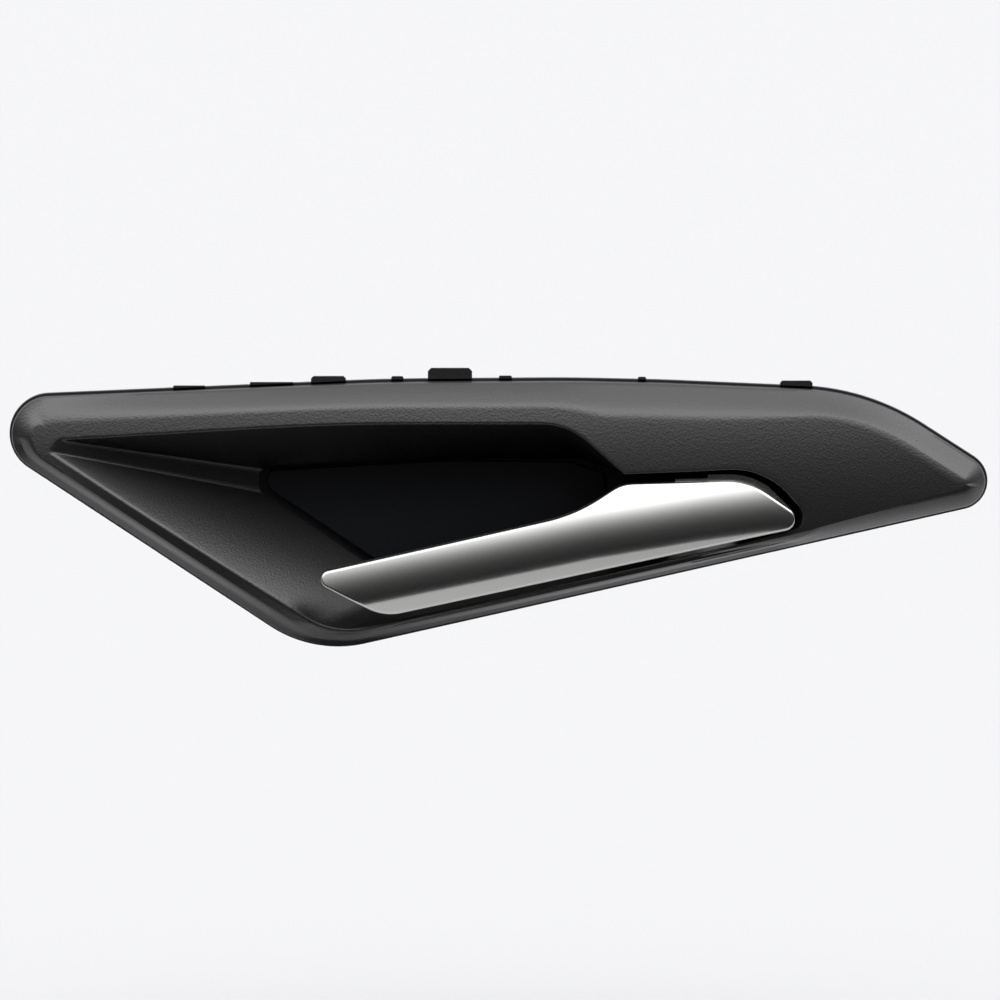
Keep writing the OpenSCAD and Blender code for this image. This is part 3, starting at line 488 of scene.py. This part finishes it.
bezel = mesh_object("bezel_skin", bezel_vertices, bezel_faces, grained)
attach(bezel, "housing")
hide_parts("bezel")

# Lever cover
LEVER_ARC_POINTS = [40, 30, 26, 36, 34, 36]
LEVER_EDGE_POINTS = [120, 16, 16, 24, 140, 24]
# The crease is highest at RIDGE_X and falls by these amounts one RIDGE_SPAN to the left and to the right
RIDGE_H = 16.6
RIDGE_X = -90
RIDGE_SPAN = 60
RIDGE_FALL_LEFT = 0.6
RIDGE_FALL_RIGHT = 1.5
# Turn of the roll above the crease, in radians per millimetre, and the distance at which it ends
ROLL_TURN = math.radians(2.2)
ROLL_END = 10
# Width over which the crease is rounded, and slope of the facet below it in degrees
CREASE_W = 2.4
FACET_TILT = 24
# Shell, its skirt towards the rear and the radius of its edge
COVER_T = 1.3
SKIRT_D = 1.6
EDGE_R = 0.6
lever_outline = rounded(LEVER_CORNERS, LEVER_ARC_POINTS, LEVER_EDGE_POINTS)


def half_outline(c, upper):
    """Upper or lower edge of the outline, from its left end to its right end."""
    n = len(c)
    first = int(np.argmin(c[:, 0]))
    last = int(np.argmax(c[:, 0]))
    step = 1 if upper else -1
    count = (step * (last - first)) % n
    return c[[(first + step * k) % n for k in range(count + 1)]]


lever_upper = half_outline(lever_outline, True)
lever_lower = half_outline(lever_outline, False)
x_low = float(lever_outline[:, 0].min())
x_high = float(lever_outline[:, 0].max())
ridge = np.array(RIDGE_LINE, float)


def upper_z(x):
    """Upper edge of the lever at a given X."""
    return np.interp(x, lever_upper[:, 0], lever_upper[:, 1])


def lower_z(x):
    """Lower edge of the lever at a given X."""
    return np.interp(x, lever_lower[:, 0], lever_lower[:, 1])


def crease_h(x):
    """Height of the lever's crease at a given X."""
    d = (x - RIDGE_X) / RIDGE_SPAN
    return RIDGE_H - np.where(d > 0, RIDGE_FALL_RIGHT, RIDGE_FALL_LEFT) * d * d


def edge_distance(p):
    """Distance of plan points from the lever's outline."""
    a = lever_outline[None, :, :]
    d = np.roll(lever_outline, -1, 0)[None, :, :] - a
    q = p[:, None, :] - a
    t = np.clip((q * d).sum(2) / (d * d).sum(2), 0, 1)
    return np.sqrt(((q - d * t[:, :, None]) ** 2).sum(2)).min(1)


def lever_h(p):
    """Height of the lever's show surface at plan points."""
    x = p[:, 0]
    zr = np.interp(x, ridge[:, 0], ridge[:, 1])
    above = np.maximum(p[:, 1] - zr, 0)
    bent = np.minimum(above, ROLL_END)
    roll = -np.log(np.cos(ROLL_TURN * bent)) / ROLL_TURN + math.tan(ROLL_TURN * ROLL_END) * (above - bent)
    below = np.maximum(zr - p[:, 1], 0)
    facet = np.where(below < CREASE_W, below ** 2 / (2 * CREASE_W), below - CREASE_W / 2)
    facet *= math.tan(math.radians(FACET_TILT))
    e = np.clip(1 - edge_distance(p) / EDGE_R, 0, 1)
    return crease_h(x) - roll - facet - EDGE_R * (1 - np.sqrt(1 - e * e))


# Grid of the cover: stations along it, closest at its ends, and steps across it from the upper edge (0)
# over the crease (1) to the lower edge (2), closest at the edges
STATIONS = 190
EVEN_SHARE = 0.2
END_SHARE = 0.8
# Gap between the grid and the outline's ends, least half width, and how far the crease may stray in it
END_GAP = 0.02
HALF_WIDTH_MIN = 0.15
CREASE_ROOM = 0.85
EDGE_STEPS = [0, 0.004, 0.01, 0.018, 0.028, 0.04, 0.055, 0.07, 0.1]
ACROSS = np.concatenate([EDGE_STEPS, np.linspace(0.14, 1.86, 45), [2 - s for s in reversed(EDGE_STEPS)]])


def sheet(inset, depth):
    """Grid of points on the lever's surface, sunk by depth and held back from the outline by inset."""
    t = np.linspace(0, 1, STATIONS + 1)
    t = EVEN_SHARE * t + END_SHARE * (1 - np.cos(math.pi * t)) / 2
    a = x_low + inset + END_GAP
    b = x_high - inset - END_GAP
    x = a + (b - a) * t
    middle = (upper_z(x) + lower_z(x)) / 2
    half = np.maximum((upper_z(x) - lower_z(x)) / 2 - inset, HALF_WIDTH_MIN)
    room = CREASE_ROOM * half
    crease = np.clip(np.interp(x, ridge[:, 0], ridge[:, 1]), middle - room, middle + room)
    grid = np.zeros((STATIONS + 1, len(ACROSS), 3))
    for j, s in enumerate(ACROSS):
        if s < 1:
            z = (middle + half) * (1 - s) + crease * s
        else:
            z = crease * (2 - s) + (middle - half) * (s - 1)
        p = np.stack([x, z], 1)
        grid[:, j] = at_height(p, lever_h(p) - depth)
    return grid


def edge_loop(rows, columns):
    """Index of each border point of a grid, in order round it."""
    loop = [k * columns for k in range(rows)]
    loop += [(rows - 1) * columns + j for j in range(1, columns)]
    loop += [k * columns + columns - 1 for k in range(rows - 2, -1, -1)]
    loop += list(range(columns - 2, 0, -1))
    return loop


# Apron that shows beyond the cover's edge at its root: X of its start, its step and its end
APRON_X = (-59, -51, -30.2)
APRON_POINTS = 40
# Width after and before the step, length of the step, how fast the end tapers, and inner reach
APRON_W = 1.5
APRON_STEP = 0.6
APRON_RAMP = 0.02
APRON_TAPER = 3
APRON_IN = 0.7
APRON_LOW = 10.5
APRON_TOP = 11.6
# Half the length over which the slope of the upper edge is taken
PROBE = 0.1


def apron_outline():
    """Strip along the upper edge that tapers off at its right end."""
    start, step, end = APRON_X
    x = np.concatenate([[start, step - APRON_RAMP], np.linspace(step, end, APRON_POINTS)])
    width = APRON_W * np.clip(APRON_TAPER * (end - x) / (end - step), 0, 1)
    width[:2] = APRON_STEP
    out = np.stack([upper_z(x - PROBE) - upper_z(x + PROBE), np.full(len(x), 2 * PROBE)], 1)
    out /= np.linalg.norm(out, axis=1)[:, None]
    edge = np.stack([x, upper_z(x)], 1)
    return np.concatenate([edge + out * width[:, None], (edge - out * APRON_IN)[::-1]])


def build_cover():
    """Silver shell with a skirt round its edge, and the apron."""
    outer = sheet(0, 0)
    inner = sheet(COVER_T, COVER_T)
    rows, columns = outer.shape[:2]
    loop = edge_loop(rows, columns)
    size = rows * columns
    n = len(loop)
    outer_points = outer.reshape(-1, 3)
    inner_points = inner.reshape(-1, 3)
    skirt = outer_points[loop] + [0, SKIRT_D, 0]
    hem = inner_points[loop] + [0, SKIRT_D - COVER_T, 0]
    vertices = np.concatenate([outer_points, inner_points, skirt, hem])
    faces = []
    for k in range(rows - 1):
        for j in range(columns - 1):
            a = k * columns + j
            faces.append((a, a + 1, a + columns + 1, a + columns))
            faces.append((size + a, size + a + columns, size + a + columns + 1, size + a + 1))
    borders = [
        loop,
        [2 * size + i for i in range(n)],
        [2 * size + n + i for i in range(n)],
        [size + i for i in loop],
    ]
    for near, far in zip(borders, borders[1:]):
        for i in range(n):
            k = (i + 1) % n
            faces.append((near[i], near[k], far[k], far[i]))
    vertices = list(vertices)
    add_prism(vertices, faces, apron_outline(), APRON_LOW, APRON_TOP)
    return mesh_object("lever_skin", vertices, faces, silver, sharp=40)


cover = build_cover()
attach(cover, "lever")
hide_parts("lever_cover")

# Return spring, in metres, copied from its CAD node; on the real handle its coils wind up as the lever opens
spring_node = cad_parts["return_spring"]
spring_mesh = spring_node.data.copy()
spring_mesh.transform(spring_node.matrix_world)
spring = add_object("spring_wire", spring_mesh)
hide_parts("return_spring")
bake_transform(spring)

# Remaining CAD nodes: shaded smooth, apart from edges sharper than this angle
NODE_SHARP = math.radians(28)
for name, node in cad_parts.items():
    node.data.polygons.foreach_set("use_smooth", [True] * len(node.data.polygons))
    node.data.set_sharp_from_angle(angle=NODE_SHARP)

# Stage, light and camera, in metres
FLOOR_SEEN = (0.5, 0.5, 0.505)
FLOOR_LIT = (0.12, 0.12, 0.12)
FLOOR_ROUGHNESS = 0.8
FLOOR_X = 20
FLOOR_FRONT = -0.13
FLOOR_BACK = 40
FLOOR_Z = -0.16
SUN_ENERGY = 0.2
SUN_SPREAD = math.radians(85)
SUN_DIRECTION = Vector((0.15, 0.42, -1))
# Light of the dark side of the studio by height of the direction, from straight down to straight up
SKY = [
    (0.0, 0.08), (0.4, 0.02), (0.5, 0.02), (0.55, 0.03), (0.604, 0.09),
    (0.66, 0.28), (0.716, 0.68), (0.75, 1.25), (0.79, 2.4), (0.86, 5.0), (1.0, 5.8),
]
SKY_BLUE = 1.01
PALE = (0.88, 0.885, 0.89)
# The pale side takes over from the dark side between these two values of Y of the direction
BEHIND_FROM = -0.1
BEHIND_TO = 0.35


def larger(tree, first, second):
    """Output of a node that takes the larger of two values."""
    node = tree.nodes.new("ShaderNodeMath")
    node.operation = "MAXIMUM"
    tree.links.new(first, node.inputs[0])
    tree.links.new(second, node.inputs[1])
    return node.outputs["Value"]


def floor_finish():
    """Floor that shows pale, but throws little light up into the bowl."""
    material = new_material("floor_pale", FLOOR_SEEN, FLOOR_ROUGHNESS)
    tree = material.node_tree
    rays = tree.nodes.new("ShaderNodeLightPath").outputs
    colour = tree.nodes.new("ShaderNodeValToRGB")
    colour.color_ramp.elements[0].color = (*FLOOR_LIT, 1)
    colour.color_ramp.elements[1].color = (*FLOOR_SEEN, 1)
    seen = larger(tree, rays["Is Camera Ray"], rays["Is Glossy Ray"])
    seen = larger(tree, seen, rays["Is Transmission Ray"])
    tree.links.new(seen, colour.inputs["Fac"])
    tree.links.new(colour.outputs["Color"], tree.nodes["Principled BSDF"].inputs["Base Color"])
    return material


floor_mesh = bpy.data.meshes.new("floor")
corners = [(-FLOOR_X, FLOOR_FRONT), (FLOOR_X, FLOOR_FRONT), (FLOOR_X, FLOOR_BACK), (-FLOOR_X, FLOOR_BACK)]
floor_mesh.from_pydata([(x, y, FLOOR_Z) for x, y in corners], [], [(0, 1, 2, 3)])
floor_mesh.materials.append(floor_finish())
floor = add_object("floor", floor_mesh)

sun_data = bpy.data.lights.new("overhead", "SUN")
sun_data.energy = SUN_ENERGY
sun_data.angle = SUN_SPREAD
sun = add_object("overhead", sun_data)
sun.rotation_euler = SUN_DIRECTION.to_track_quat("-Z", "Y").to_euler()


def map_range(tree, value, low, high):
    """Node that maps a value from between low and high to between 0 and 1."""
    node = tree.nodes.new("ShaderNodeMapRange")
    node.inputs["From Min"].default_value = low
    node.inputs["From Max"].default_value = high
    tree.links.new(value, node.inputs["Value"])
    return node


def studio_world():
    """World that is dark in front of the object and pale behind it.

    The camera sees the pale side all round, also through glass. Light and metal see it behind the object.
    """
    world = bpy.data.worlds.new("studio")
    world.use_nodes = True
    tree = world.node_tree
    dark = tree.nodes["Background"]
    pale = tree.nodes.new("ShaderNodeBackground")
    pale.inputs["Color"].default_value = (*PALE, 1)
    direction = tree.nodes.new("ShaderNodeTexCoord")
    axes = tree.nodes.new("ShaderNodeSeparateXYZ")
    tree.links.new(direction.outputs["Generated"], axes.inputs["Vector"])
    height = map_range(tree, axes.outputs["Z"], -1, 1)
    ramp = tree.nodes.new("ShaderNodeValToRGB")
    for k, (position, level) in enumerate(SKY):
        element = ramp.color_ramp.elements[0] if k == 0 else ramp.color_ramp.elements.new(position)
        element.position = position
        element.color = (level, level, level * SKY_BLUE, 1)
    tree.links.new(height.outputs["Result"], ramp.inputs["Fac"])
    tree.links.new(ramp.outputs["Color"], dark.inputs["Color"])
    behind = map_range(tree, axes.outputs["Y"], BEHIND_FROM, BEHIND_TO)
    behind.interpolation_type = "SMOOTHSTEP"
    rays = tree.nodes.new("ShaderNodeLightPath").outputs
    shown = larger(tree, behind.outputs["Result"], rays["Is Camera Ray"])
    shown = larger(tree, shown, rays["Is Transmission Ray"])
    choice = tree.nodes.new("ShaderNodeMixShader")
    tree.links.new(shown, choice.inputs["Fac"])
    tree.links.new(dark.outputs["Background"], choice.inputs[1])
    tree.links.new(pale.outputs["Background"], choice.inputs[2])
    tree.links.new(choice.outputs["Shader"], tree.nodes["World Output"].inputs["Surface"])
    return world


bpy.context.scene.world = studio_world()

# The camera looks at the target from a few degrees above and sees the frame's width there
TARGET = Vector((-0.10205, -0.010, -0.00752))
DISTANCE = 1.6
ELEVATION = math.radians(5)
FRAME_WIDTH = 0.2459
SENSOR_MM = 36
camera_data = bpy.data.cameras.new("camera")
camera_data.sensor_width = SENSOR_MM
camera_data.lens = SENSOR_MM * DISTANCE / FRAME_WIDTH
camera = add_object("camera", camera_data)
camera.location = TARGET + Vector((0, -math.cos(ELEVATION), math.sin(ELEVATION))) * DISTANCE
camera.rotation_euler = (TARGET - camera.location).to_track_quat("-Z", "Y").to_euler()
bpy.context.scene.camera = camera
bpy.context.scene.view_settings.view_transform = "Standard"
